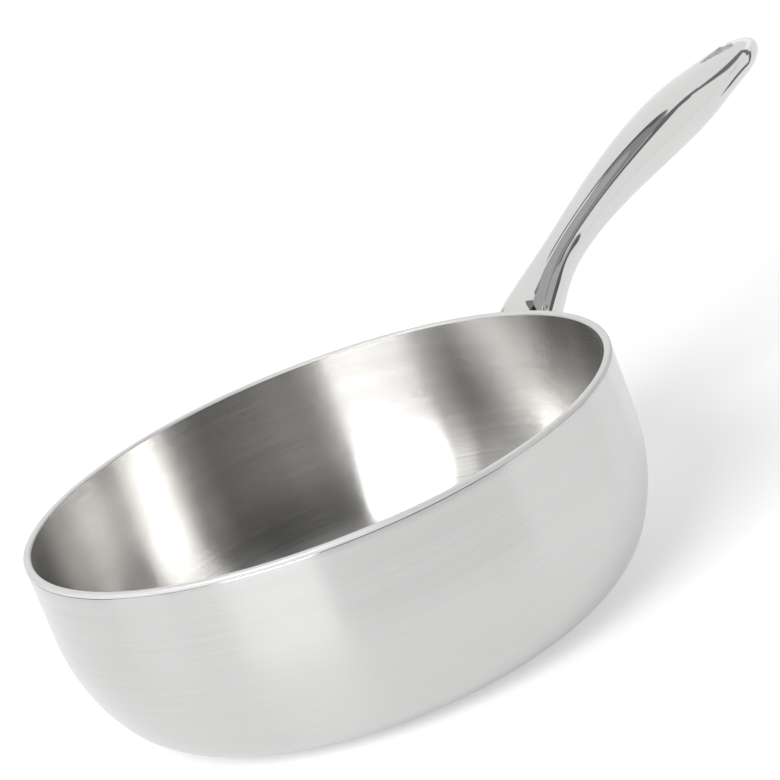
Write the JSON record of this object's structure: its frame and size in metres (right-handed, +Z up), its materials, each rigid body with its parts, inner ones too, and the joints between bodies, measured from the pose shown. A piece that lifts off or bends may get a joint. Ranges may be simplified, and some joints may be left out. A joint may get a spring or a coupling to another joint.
{
  "type": "saucier pan",
  "caption": "Uncovered saucier pan of clad steel: upright wall over a rounded belly, sealed rim and a hollow polished stick handle with a teardrop hanging hole.",
  "frame": {"origin": "centre of the flat base, on the surface that the pan stands on", "axes": "+Z up along the bowl's axis, +X along the handle, away from the bowl"},
  "size_m": [0.4523, 0.2462, 0.1321],
  "materials": {
    "lining_steel": "satin stainless, brushed round the bowl",
    "core_aluminium": "rolled aluminium, sealed inside the wall",
    "skin_steel": "satin magnetic stainless, brushed round the bowl",
    "saddle_steel": "satin stainless",
    "handle_polish": "mirror-polished stainless"
  },
  "bodies": {
    "root": {"inner_lining": "lining_steel", "upper_alloy_ply": "core_aluminium", "core_ply": "core_aluminium", "lower_alloy_ply": "core_aluminium", "outer_skin": "skin_steel", "handle_saddle": "saddle_steel", "handle_upper_shell": "handle_polish", "handle_lower_shell": "handle_polish", "hanging_hole_sleeve": "handle_polish"}
  },
  "joints": []
}
